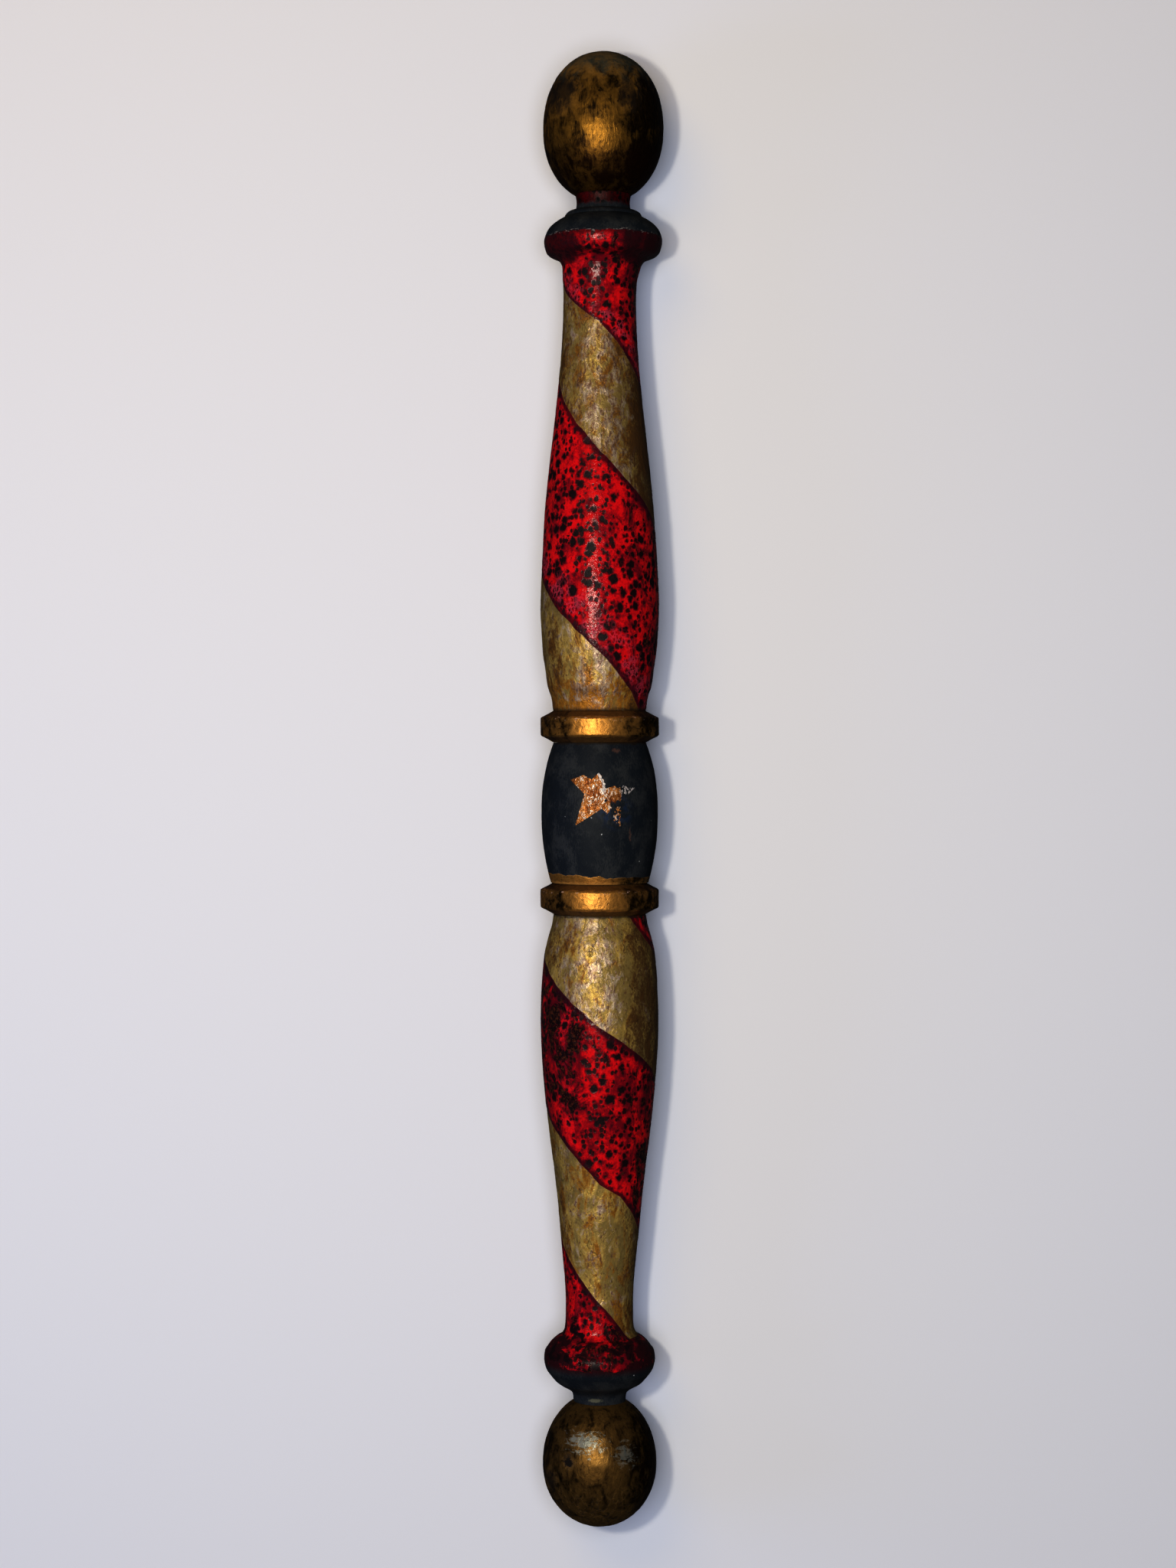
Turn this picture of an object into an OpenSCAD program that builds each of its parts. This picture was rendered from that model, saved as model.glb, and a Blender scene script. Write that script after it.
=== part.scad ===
// Juggling club of turned wood. Its sections are bored and glued on one core dowel, like beads
// on a string. It lies on its side along +X, with the oval ball at the +X end. The origin is on the
// surface that it lies on, under the middle of its length. The star faces up, along +Z.
// Every outline is measured from the tip of the round ball: s runs along the axis, r out from it.

/* [Core] */
// Radius of the core dowel
dowel_r = 6.35; // [5:0.05:7]
// Room for glue between the dowel and each bore
glue_gap = 0.1; // [0.05:0.05:0.3]
// Depth of the blind socket in each ball
socket_depth = 30; // [15:1:34]

/* [Upper finial] */
// Radius of the oval ball, the widest part of the club
oval_r = 24.9; // [24.5:0.1:26.5]
// Length of the oval ball from its widest place to its tip
oval_tip_l = 32.2; // [28:0.1:36]
// Length that it would have from there to the neck if the neck did not cut it
oval_root_l = 29.8; // [28.5:0.1:33]
// Radius of the neck where it meets the ball
upper_neck_r = 11.5; // [10:0.1:13]
// Depth of the hollow in the neck's side
upper_neck_hollow = 0.5; // [0:0.1:0.8]
// Length of the neck
upper_neck_l = 6.5; // [5:0.1:10]
// Radius of the step under the neck
step_r = 16; // [14:0.1:17]
// Height of the step
step_l = 2.7; // [2:0.1:5]

/* [Upper collar] */
// Radius of the collar's lip
lip_r = 24.4; // [22:0.1:24.5]
// Length of the collar from the step to the shaft
upper_collar_l = 20.7; // [17:0.1:23]

/* [Shafts] */
// Radius of the upper shaft's waist
upper_waist_r = 15; // [13:0.1:16]
// Radius of the upper shaft's belly
upper_belly_r = 24.4; // [22:0.1:24.5]
// Length of the upper shaft
upper_shaft_l = 183.5; // [165:0.1:200]
// Radius of the lower shaft's waist
lower_waist_r = 13.9; // [12:0.1:16]
// Radius of the lower shaft's belly
lower_belly_r = 24.3; // [22:0.1:24.5]
// Length of the lower shaft
lower_shaft_l = 174; // [155:0.1:190]

/* [Middle] */
// Radius of the rims of the two rings
rim_r = 24.5; // [24.5:0.1:26]
// Width of each rim
rim_w = 7.5; // [4:0.1:9]
// Length of each ring, with its two bevels
ring_l = 13.1; // [12:0.1:17]
// Radius at the bottom of the grooves beside the rings
groove_r = 19.1; // [17:0.1:20]
// Radius of the barrel's foot, on the lower ring
barrel_foot_r = 20.2; // [19:0.1:22]
// Radius of the barrel at its middle
barrel_r = 24.1; // [22:0.1:24.5]
// Length of the barrel
barrel_l = 57.9; // [50:0.1:66]

/* [Star] */
// Distance from the star's middle to its points
star_r = 14.5; // [10:0.5:18]
// Distance from the star's middle to its inner corners
star_inner_r = 6.4; // [4:0.1:8]
// Thickness of the star
star_t = 0.35; // [0.2:0.05:0.6]
// Turn of the star about its middle, seen from above
star_turn = -6; // [-36:1:36]
// How far the star's middle is from the barrel's middle, towards the oval ball
star_shift = 5; // [-8:0.5:8]

/* [Lower finial] */
// Radius of the bead that ends the lower shaft
bead_r = 22.9; // [21:0.1:24.5]
// Length of the bead
bead_l = 15.9; // [13:0.1:18]
// Radius of the lower neck where it meets the ball
lower_neck_r = 10.8; // [9.5:0.1:12]
// Length of the lower neck, with its hollow flare
lower_neck_l = 11.3; // [9:0.1:14]
// Radius of the round ball
round_r = 23.5; // [22:0.1:24.5]
// Length of the round ball from its widest place to its tip
round_tip_l = 26; // [23:0.1:30]
// Length that it would have from there to the neck if the neck did not cut it
round_root_l = 28.7; // [27.5:0.1:32]

/* [Hidden] */
$fn = 96;

oval_power = 2.15;                  // 2 is an ellipse, more is fuller
round_power = 2.06;
barrel_power = 2.2;
ball_steps = 28;
bore_r = dowel_r + glue_gap;
gold = "darkgoldenrod";
red = "firebrick";
black = "#1a1d24";

// Share of its half length at which a ball's outline has come in to radius r of full radius full_r
function cut_share(r, full_r, power) = pow(1 - pow(r / full_r, power), 1 / power);

// Where each section starts, from the round ball's tip
lower_neck_s = round_tip_l + round_root_l * cut_share(lower_neck_r, round_r, round_power);
bead_s = lower_neck_s + lower_neck_l;
lower_shaft_s = bead_s + bead_l;
lower_ring_s = lower_shaft_s + lower_shaft_l;
barrel_s = lower_ring_s + ring_l;
upper_ring_s = barrel_s + barrel_l;
upper_shaft_s = upper_ring_s + ring_l;
upper_collar_s = upper_shaft_s + upper_shaft_l;
step_s = upper_collar_s + upper_collar_l;
upper_neck_s = step_s + step_l;
oval_s = upper_neck_s + upper_neck_l;
overall_l = oval_s + oval_tip_l + oval_root_l * cut_share(upper_neck_r, oval_r, oval_power);

// A point of the smooth curve through four stations, t from the second to the third
function between(a, b, c, d, t) =
    0.5 * (2 * b + (c - a) * t + (2 * a - 5 * b + 4 * c - d) * t * t + (3 * b - a - 3 * c + d) * t * t * t);

// A smooth curve through stations p, each [r, s], in n steps between neighbours
function through(p, n = 4) = [
    for (i = [0 : len(p) - 2], k = [0 : n - 1])
        between(p[max(i - 1, 0)], p[i], p[i + 1], p[min(i + 2, len(p) - 1)], k / n),
    p[len(p) - 1]
];

// Outline of a ball from radius neck_r at s = 0 towards its tip, of full radius r
function ball(r, tip_l, root_l, neck_r, power) =
    let (cut = cut_share(neck_r, r, power), from = acos(-cut))
    [for (i = [0 : ball_steps - 1])
        let (t = cos(from * (1 - i / ball_steps)))
        [r * pow(1 - pow(abs(t), power), 1 / power), root_l * cut + (t < 0 ? root_l : tip_l) * t]];

// Outline of the barrel, raised by proud
function barrel_line(proud = 0, from = -1, to = 1, steps = 20) = [
    for (i = [0 : steps]) let (t = from + (to - from) * i / steps, end_r = t < 0 ? barrel_foot_r : groove_r)
        [barrel_r - (barrel_r - end_r) * pow(abs(t), barrel_power) + proud, barrel_l * (1 + t) / 2]
];

// Puts what is built along +Z from s = 0 on the club's axis, at s
module at(s) {
    translate([s - overall_l / 2, 0, oval_r]) rotate([0, 90, 0]) children();
}

// A section turned to an outline of [r, s] points, bored right through
module turned(outline) {
    last = outline[len(outline) - 1];
    rotate_extrude() polygon(concat([[bore_r, outline[0][1]]], outline, [[bore_r, last[1]]]));
}

// A ball on its neck's end at s = 0, with a blind socket for the dowel
module finial_ball(r, tip_l, root_l, neck_r, power) {
    tip = tip_l + root_l * cut_share(neck_r, r, power);
    difference() {
        rotate_extrude() polygon(concat([[0, 0]], ball(r, tip_l, root_l, neck_r, power), [[0, tip]]));
        translate([0, 0, -1]) cylinder(h = socket_depth + 1, r = bore_r);
    }
}

// A ring with a flat rim between two bevels
module ring() {
    bevel = (ring_l - rim_w) / 2;
    turned([[groove_r, 0], [rim_r, bevel], [rim_r, bevel + rim_w], [groove_r, ring_l]]);
}

module round_ball() {
    color(gold) at(lower_neck_s) mirror([0, 0, 1])
        finial_ball(round_r, round_tip_l, round_root_l, lower_neck_r, round_power);
}

module lower_neck() {
    flare_r = bead_r * 0.905;
    swell = flare_r - lower_neck_r;
    l = lower_neck_l;
    color(black) at(lower_neck_s) turned(through([
        [lower_neck_r, 0], [lower_neck_r + 0.01 * swell, 0.15 * l], [lower_neck_r + 0.06 * swell, 0.32 * l],
        [lower_neck_r + 0.25 * swell, 0.46 * l], [lower_neck_r + 0.66 * swell, 0.67 * l],
        [lower_neck_r + 0.88 * swell, 0.87 * l], [flare_r, l]]));
}

module lower_bead() {
    l = bead_l;
    color(black) at(bead_s) turned(through([
        [bead_r * 0.905, 0], [bead_r * 0.96, 0.12 * l], [bead_r * 0.995, 0.3 * l], [bead_r, 0.42 * l],
        [bead_r * 0.985, 0.58 * l], [bead_r * 0.93, 0.7 * l], [bead_r * 0.88, 0.8 * l],
        [bead_r * 0.785, 0.93 * l], [bead_r * 0.69, l]]));
}

module lower_shaft() {
    w = lower_waist_r;
    b = lower_belly_r;
    swell = b - w;
    drop = b - groove_r;
    l = lower_shaft_l;
    color(red) at(lower_shaft_s) turned(through([
        [bead_r * 0.69, 0], [w + 0.09 * swell, 0.008 * l], [w + 0.03 * swell, 0.02 * l], [w, 0.05 * l],
        [w + 0.02 * swell, 0.12 * l], [w + 0.18 * swell, 0.224 * l], [w + 0.425 * swell, 0.37 * l],
        [w + 0.73 * swell, 0.517 * l], [w + 0.93 * swell, 0.64 * l], [b, 0.741 * l],
        [b - 0.09 * drop, 0.83 * l], [b - 0.28 * drop, 0.9 * l], [b - 0.54 * drop, 0.94 * l],
        [b - 0.87 * drop, 0.975 * l], [groove_r, l]]));
}

module lower_ring() {
    color(gold) at(lower_ring_s) ring();
}

module barrel() {
    color(black) at(barrel_s) turned(barrel_line());
}

module upper_ring() {
    color(gold) at(upper_ring_s) ring();
}

module upper_shaft() {
    w = upper_waist_r;
    b = upper_belly_r;
    swell = b - w;
    drop = b - groove_r;
    l = upper_shaft_l;
    color(red) at(upper_shaft_s) turned(through([
        [groove_r, 0], [b - 0.85 * drop, 0.03 * l], [b - 0.55 * drop, 0.057 * l], [b - 0.35 * drop, 0.1 * l],
        [b - 0.17 * drop, 0.14 * l], [b, 0.235 * l], [w + 0.945 * swell, 0.32 * l],
        [w + 0.775 * swell, 0.46 * l], [w + 0.49 * swell, 0.6 * l], [w + 0.19 * swell, 0.74 * l],
        [w + 0.02 * swell, 0.86 * l], [w, 0.95 * l], [w + 0.08 * swell, 0.99 * l], [w + 0.12 * swell, l]]));
}

module upper_collar() {
    l = upper_collar_l;
    root_r = upper_waist_r + 0.12 * (upper_belly_r - upper_waist_r);
    swell = lip_r - root_r;
    color(red) at(upper_collar_s) turned(through([
        [root_r, 0], [root_r + 0.06 * swell, 0.06 * l], [root_r + 0.24 * swell, 0.15 * l],
        [root_r + 0.76 * swell, 0.25 * l], [root_r + 0.93 * swell, 0.36 * l], [lip_r, 0.52 * l],
        [lip_r - 0.06 * swell, 0.64 * l], [lip_r - 0.23 * swell, 0.77 * l],
        [lip_r - 0.56 * swell, 0.89 * l], [step_r, l]]));
}

module neck_step() {
    rise = step_r - upper_neck_r;
    color(black) at(step_s) turned([
        for (a = [0 : 15 : 90]) [upper_neck_r + rise * cos(a), step_l * sin(a)]]);
}

module upper_neck() {
    color(red) at(upper_neck_s) turned([
        for (i = [0 : 8]) [upper_neck_r - upper_neck_hollow * sin(180 * i / 8), upper_neck_l * i / 8]]);
}

module oval_ball() {
    color(gold) at(oval_s) finial_ball(oval_r, oval_tip_l, oval_root_l, upper_neck_r, oval_power);
}

// One dowel from socket to socket, a glue gap short of the bottom of each
module core_dowel() {
    from = lower_neck_s - socket_depth + 1;
    to = oval_s + socket_depth - 1;
    color("burlywood") at(from) cylinder(h = to - from, r = dowel_r);
}

// Five-pointed star of thin leaf, curved to the barrel
module star() {
    points = [for (i = [0 : 9]) let (a = 36 * i, r = i % 2 == 0 ? star_r : star_inner_r) [r * cos(a), r * sin(a)]];
    line = barrel_line(0, -0.6, 0.9, 24);
    skin = barrel_line(star_t, -0.6, 0.9, 24);
    color("goldenrod") intersection() {
        at(barrel_s) rotate_extrude() polygon(concat(line, [for (i = [len(skin) - 1 : -1 : 0]) skin[i]]));
        translate([barrel_s + barrel_l / 2 + star_shift - overall_l / 2, 0, oval_r])
            rotate([0, 0, star_turn]) linear_extrude(height = 2 * barrel_r) polygon(points);
    }
}

round_ball();
lower_neck();
lower_bead();
lower_shaft();
lower_ring();
barrel();
upper_ring();
upper_shaft();
upper_collar();
neck_step();
upper_neck();
oval_ball();
core_dowel();
star();
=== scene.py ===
"""Juggling club of turned and painted wood, lying on a pale surface, seen from straight above."""

import math
from collections import namedtuple

import bpy
import numpy as np
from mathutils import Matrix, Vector, noise


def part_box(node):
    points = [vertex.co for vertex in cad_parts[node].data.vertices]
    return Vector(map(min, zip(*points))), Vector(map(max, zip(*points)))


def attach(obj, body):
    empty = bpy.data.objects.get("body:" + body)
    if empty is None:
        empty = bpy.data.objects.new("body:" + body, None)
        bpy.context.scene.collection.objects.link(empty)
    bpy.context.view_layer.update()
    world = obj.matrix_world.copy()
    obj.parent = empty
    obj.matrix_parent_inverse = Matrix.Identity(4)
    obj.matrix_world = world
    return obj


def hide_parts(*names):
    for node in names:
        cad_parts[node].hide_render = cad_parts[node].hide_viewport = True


MM = 0.001

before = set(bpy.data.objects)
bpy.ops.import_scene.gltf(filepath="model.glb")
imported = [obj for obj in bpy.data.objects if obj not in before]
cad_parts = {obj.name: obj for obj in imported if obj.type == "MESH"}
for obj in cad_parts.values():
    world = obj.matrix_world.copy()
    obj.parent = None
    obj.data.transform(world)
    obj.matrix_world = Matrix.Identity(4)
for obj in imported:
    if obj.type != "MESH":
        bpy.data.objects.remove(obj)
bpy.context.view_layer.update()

# ---------------------------------------------------------------- places taken from the frame

TIP_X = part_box("round_ball")[0].x
AXIS_Z = sum(corner.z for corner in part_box("oval_ball")) / 2


def span(node):
    """Lowest and highest place of a node along the club, in mm from the round ball's tip."""
    low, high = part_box(node)
    return (low.x - TIP_X) / MM, (high.x - TIP_X) / MM


# ---------------------------------------------------------------- turned meshes

STEP = 0.55 * MM
SEGMENTS = 272
EASE = 0.7 * MM
FADE = 1.0 * MM
AXIS = 1e-6
BORE_SHARE = 0.7
TURN = 2 * math.pi


def outline(node):
    """Outer stations (x, r) of a turned node, and its bore's stations, in metres, from low x to high."""
    co = np.array([v.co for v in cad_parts[node].data.vertices])
    x = np.round(co[:, 0], 6)
    r = np.hypot(co[:, 1], co[:, 2] - AXIS_Z)
    outer = [(place, r[x == place].max()) for place in np.unique(x)]
    hollow = [i for i in range(1, len(outer) - 1)
              if outer[i][1] < BORE_SHARE * min(outer[i - 1][1], outer[i + 1][1])]
    bore_r = min(r[x == place].min() for place in (x.min(), x.max()) if r[x == place].max() > AXIS)
    bore = [(outer[i][0], bore_r) for i in hollow]
    return np.array([p for i, p in enumerate(outer) if i not in hollow]), bore_r, bore


def smooth_line(points):
    """Points about STEP apart on a smooth curve through the given points."""
    chord = np.hypot(*np.diff(points, axis=0).T)
    slope = np.gradient(points, np.concatenate([[0], np.cumsum(chord)]), axis=0)
    for end, way in ((0, 1), (-1, -1)):
        if points[end][1] < AXIS:
            slope[end] = (0, way)
    out = []
    for i, length in enumerate(chord):
        n = max(1, round(length / STEP))
        t = np.arange(n)[:, None] / n
        out.append((2 * t**3 - 3 * t**2 + 1) * points[i] + (t**3 - 2 * t**2 + t) * length * slope[i]
                   + (3 * t**2 - 2 * t**3) * points[i + 1] + (t**3 - t**2) * length * slope[i + 1])
    return np.vstack(out + [points[-1:]])


def cornered_line(points):
    """Points about STEP apart along straight stretches, with the corners between them eased."""
    eased = [points[0]]
    for before, corner, after in zip(points, points[1:], points[2:]):
        back = (before - corner) / np.linalg.norm(before - corner) * EASE
        on = (after - corner) / np.linalg.norm(after - corner) * EASE
        eased += [corner + back * (1 - t) ** 2 + on * t**2 for t in (0, 0.25, 0.5, 0.75, 1)]
    eased.append(points[-1])
    out = []
    for a, b in zip(eased, eased[1:]):
        n = max(1, round(np.linalg.norm(b - a) / STEP))
        out.append(a + (b - a) * np.arange(n)[:, None] / n)
    return np.vstack(out + [points[-1:]])


def revolve(name, line, flags, closed):
    """A mesh turned about the club's axis. flags holds, for each attribute, its value along the line."""
    angle = TURN * np.arange(SEGMENTS) / SEGMENTS
    verts, starts, rows = [], [], []
    for i, (x, r) in enumerate(line):
        starts.append(len(verts))
        at = [0.0] if r < AXIS else angle
        verts += [(x, r * math.sin(a), r * math.cos(a) + AXIS_Z) for a in at]
        rows += [i] * len(at)
    faces = []
    for i in range(len(line) if closed else len(line) - 1):
        on = (i + 1) % len(line)
        for k in range(SEGMENTS):
            beside = (k + 1) % SEGMENTS
            if line[i][1] < AXIS:
                faces.append((starts[i], starts[on] + k, starts[on] + beside))
            elif line[on][1] < AXIS:
                faces.append((starts[i] + k, starts[on], starts[i] + beside))
            else:
                faces.append((starts[i] + k, starts[on] + k, starts[on] + beside, starts[i] + beside))
    mesh = bpy.data.meshes.new(name)
    mesh.from_pydata(verts, [], faces)
    for key, values in flags.items():
        attribute = mesh.attributes.new(key, "FLOAT", "POINT")
        attribute.data.foreach_set("value", np.array(values, np.float32)[rows])
    mesh.shade_smooth()
    mesh.set_sharp_from_angle(angle=math.radians(50))
    return new_piece(name, mesh)


def new_piece(name, mesh):
    piece = bpy.data.objects.new(name, mesh)
    bpy.context.scene.collection.objects.link(piece)
    return piece


def turned(node, cornered=False, seamless=(False, False)):
    """A bored and turned section in place of its node, fine enough to carry its relief.

    The relief fades away at its ends, except where a section goes on seamlessly into the next."""
    stations, bore_r, bore = outline(node)
    line = cornered_line(stations) if cornered else smooth_line(stations)
    low, high = stations[0], stations[-1]
    from_low = 1 if low[1] < AXIS or seamless[0] else np.clip((line[:, 0] - low[0]) / FADE, 0, 1)
    from_high = 1 if high[1] < AXIS or seamless[1] else np.clip((high[0] - line[:, 0]) / FADE, 0, 1)
    closed = low[1] > AXIS and high[1] > AXIS
    if closed:
        inner = [(high[0], bore_r), (low[0], bore_r)]
    elif low[1] < AXIS:
        inner = [(high[0], bore_r)] + bore + [(bore[0][0], 0)]
    else:
        inner = [(bore[0][0], 0)] + bore + [(low[0], bore_r)]
    relief = from_low * from_high * np.ones(len(line))
    outside, hollow = np.ones(len(line)), np.zeros(len(inner))
    socket_first = high[1] < AXIS
    parts = [inner, line] if socket_first else [line, inner]
    flags = {key: np.concatenate([hollow, values] if socket_first else [values, hollow])
             for key, values in (("relief", relief), ("outside", outside))}
    piece = revolve(node + "_turned", np.vstack(parts), flags, closed)
    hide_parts(node)
    return piece


# ---------------------------------------------------------------- node graphs

class Field:
    """A number that varies over the surface: a node's output, with arithmetic."""

    def __init__(self, graph, socket):
        self.graph, self.socket = graph, socket

    def __add__(self, other): return self.graph.math("ADD", self, other)
    def __sub__(self, other): return self.graph.math("SUBTRACT", self, other)
    def __rsub__(self, other): return self.graph.math("SUBTRACT", other, self)
    def __mul__(self, other): return self.graph.math("MULTIPLY", self, other)
    def __truediv__(self, other): return self.graph.math("DIVIDE", self, other)
    __radd__, __rmul__ = __add__, __mul__

    def step(self, low, high):
        """0 where this is at low, 1 where it is at high, and smooth between. low may be the larger."""
        node = self.graph.node("ShaderNodeMapRange", interpolation_type="SMOOTHSTEP")
        self.graph.feed(node.inputs["Value"], self)
        node.inputs["From Min"].default_value = low
        node.inputs["From Max"].default_value = high
        return Field(self.graph, node.outputs[0])

    def most(self, other): return self.graph.math("MAXIMUM", self, other)
    def least(self, other): return self.graph.math("MINIMUM", self, other)


class Graph:
    """Builds the same fields in a material or in a geometry node group.

    p is the place in mm: (s along the club from the round ball's tip, side, up), from the club's axis.
    turn goes once round the club, from -0.5 to 0.5, and is 0 on top."""

    def __init__(self, tree):
        self.tree = tree
        if tree.bl_idname == "GeometryNodeTree":
            place = self.node("GeometryNodeInputPosition").outputs[0]
        else:
            place = self.node("ShaderNodeTexCoord").outputs["Object"]
        centred = self.vector("SUBTRACT", place, (TIP_X, 0, AXIS_Z))
        self.p = self.vector("MULTIPLY", centred, (1 / MM, -1 / MM, 1 / MM))
        parts = self.node("ShaderNodeSeparateXYZ")
        self.feed(parts.inputs[0], self.p)
        self.s, self.side, self.up = (Field(self, out) for out in parts.outputs)
        self.turn = self.math("ARCTAN2", self.side, self.up) / TURN

    def node(self, kind, **settings):
        node = self.tree.nodes.new(kind)
        for key, value in settings.items():
            setattr(node, key, value)
        return node

    def feed(self, socket, value):
        if isinstance(value, Field):
            value = value.socket
        if isinstance(value, bpy.types.NodeSocket):
            self.tree.links.new(value, socket)
        else:
            socket.default_value = value

    def math(self, operation, *values):
        node = self.node("ShaderNodeMath", operation=operation)
        for socket, value in zip(node.inputs, values):
            self.feed(socket, value)
        return Field(self, node.outputs[0])

    def vector(self, operation, a, b):
        node = self.node("ShaderNodeVectorMath", operation=operation)
        self.feed(node.inputs[0], a)
        if operation == "SCALE":
            self.feed(node.inputs["Scale"], b)
        else:
            self.feed(node.inputs[1], b)
        return node.outputs[0]

    def stretched(self, sizes, seed=0):
        """The place in units of sizes, mm along s, side and up, moved off so that seeds differ."""
        scaled = self.vector("MULTIPLY", self.p, tuple(1 / size for size in sizes))
        return self.vector("ADD", scaled, (seed * 7.3, seed * 3.1, seed * 5.7))

    def noise(self, sizes, detail=2.0, roughness=0.5, distortion=0.0, seed=0):
        """Noise about 0.5 whose lumps are about sizes mm."""
        sizes = sizes if isinstance(sizes, tuple) else (sizes,) * 3
        node = self.node("ShaderNodeTexNoise")
        self.feed(node.inputs["Vector"], self.stretched(sizes, seed))
        node.inputs["Scale"].default_value = 1
        node.inputs["Detail"].default_value = detail
        node.inputs["Roughness"].default_value = roughness
        node.inputs["Distortion"].default_value = distortion
        return Field(self, node.outputs[0])

    def cells(self, sizes, warp=0.0, seed=0, feature="F1"):
        """Distance from the nearest of many scattered points, and a random number for that point."""
        sizes = sizes if isinstance(sizes, tuple) else (sizes,) * 3
        at = self.stretched(sizes, seed)
        if warp:
            noise = self.node("ShaderNodeTexNoise")
            self.feed(noise.inputs["Vector"], at)
            noise.inputs["Scale"].default_value = 2.2
            noise.inputs["Detail"].default_value = 2
            shift = self.vector("SCALE", self.vector("SUBTRACT", noise.outputs[1], (0.5, 0.5, 0.5)), warp)
            at = self.vector("ADD", at, shift)
        node = self.node("ShaderNodeTexVoronoi", feature=feature)
        self.feed(node.inputs["Vector"], at)
        node.inputs["Scale"].default_value = 1
        if feature == "DISTANCE_TO_EDGE":
            return Field(self, node.outputs[0]), None
        parts = self.node("ShaderNodeSeparateXYZ")
        self.feed(parts.inputs[0], node.outputs[1])
        return Field(self, node.outputs[0]), Field(self, parts.outputs[0])

    def curve(self, points):
        """A number that follows s on straight lines through points (s, value), and is flat beyond them."""
        value = None
        for (s0, v0), (s1, v1) in zip(points, points[1:]):
            node = self.node("ShaderNodeMapRange")
            self.feed(node.inputs["Value"], self.s)
            node.inputs["From Min"].default_value = s0
            node.inputs["From Max"].default_value = s1
            node.inputs["To Min"].default_value = v0 if value is None else 0
            node.inputs["To Max"].default_value = v1 if value is None else v1 - v0
            part = Field(self, node.outputs[0])
            value = part if value is None else value + part
        return value

    def near(self, s, side, size, aspect=1.0):
        """Distance from a place on the upper side, in units of size mm. aspect stretches it along s."""
        along = (self.s - s) / (size * aspect)
        across = (self.side - side) / size
        below = self.up.step(0, -4) * 9
        return self.math("SQRT", along * along + across * across) + below

    def attribute(self, name):
        """A number that the mesh carries at each point. Only for geometry."""
        node = self.node("GeometryNodeInputNamedAttribute", data_type="FLOAT")
        node.inputs["Name"].default_value = name
        return Field(self, node.outputs[0])

    def shade(self, colour, factor):
        """A colour made darker or lighter by a factor."""
        return self.vector("SCALE", colour, factor)

    def mix(self, factor, a, b):
        """a where factor is 0 and b where it is 1: numbers, or colours as tuples or sockets.

        Two equal numbers stay a plain number, which goes on the shader's own socket."""
        if isinstance(a, float) and a == b:
            return a
        colour = any(isinstance(v, (tuple, bpy.types.NodeSocket)) for v in (a, b))
        node = self.node("ShaderNodeMix", data_type="RGBA" if colour else "FLOAT")
        self.feed(node.inputs[0], factor)
        first, out = (6, 2) if colour else (2, 0)
        for socket, value in zip((node.inputs[first], node.inputs[first + 1]), (a, b)):
            self.feed(socket, (*value, 1) if isinstance(value, tuple) else value)
        return node.outputs[out] if colour else Field(self, node.outputs[out])


# ---------------------------------------------------------------- layers of paint

# What a surface shows at each point. height is the relief, which the bump repeats in part, and fine is in
# the bump only, both in mm.
Layer = namedtuple("Layer", "colour roughness height fine metal")

RED = (0.68, 0.006, 0.009)
DEEP_RED = (0.34, 0.004, 0.008)
MAROON = (0.085, 0.003, 0.009)
SPOT_BLACK = (0.009, 0.003, 0.004)
BURNT = (0.080, 0.020, 0.008)
LACE_PINK = (0.66, 0.05, 0.09)

GOLD_OLIVE = (0.42, 0.29, 0.09)
GOLD_YELLOW = (0.80, 0.53, 0.13)
GOLD_ORANGE = (0.62, 0.26, 0.03)
GOLD_SILVER = (0.86, 0.70, 0.53)
GOLD_MAUVE = (0.38, 0.19, 0.16)
GOLD_BROWN = (0.13, 0.062, 0.020)
GOLD_SHINE = (0.86, 0.42, 0.10)
OVAL_SHINE = (0.60, 0.30, 0.05)
ROUND_SHINE = (0.38, 0.205, 0.055)
TARNISH = (0.045, 0.024, 0.009)
SOOT = (0.012, 0.008, 0.006)
CRACK = (0.03, 0.016, 0.008)
GROUND_RED = (0.22, 0.06, 0.035)

BLACK = (0.009, 0.012, 0.016)
BLACK_SCUFF = (0.027, 0.029, 0.030)
BLACK_RUBBED = (0.06, 0.06, 0.058)
CHALK = (0.42, 0.42, 0.39)

STRIPE_MARGIN = (0.030, 0.0035, 0.008)
GRIME = (0.020, 0.012, 0.007)
RING_GRIME = (0.042, 0.016, 0.007)
RING_GROUND = (0.74, 0.48, 0.38)
BLUE_TINT = (0.012, 0.032, 0.085)
RUST = (0.10, 0.050, 0.035)
COLLAR_SHADE = (0.026, 0.004, 0.006)
COLLAR_WORN = (0.26, 0.22, 0.20)
RED_STAIN = (0.028, 0.004, 0.006)
NECK_CHIP = (0.16, 0.15, 0.09)
CROWN_GREEN = (0.060, 0.064, 0.046)
FOOT_RED = (0.050, 0.012, 0.006)
BALL_HIGHLIGHT = (0.72, 0.40, 0.11)
BALL_SILVER = (0.34, 0.36, 0.31)

LEAF_DARK = (0.26, 0.075, 0.02)
LEAF_GOLD = (0.86, 0.36, 0.09)
LEAF_GLINT = (1.0, 0.88, 0.76)
LEAF_EDGE = (0.95, 0.90, 0.86)
WOOD_PALE = (0.52, 0.36, 0.20)
WOOD_DARK = (0.38, 0.24, 0.12)


def paint_over(g, factor, under, over):
    """One layer where factor is 0 and another where it is 1."""
    return Layer(*(g.mix(factor, a, b) for a, b in zip(under, over)))


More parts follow.
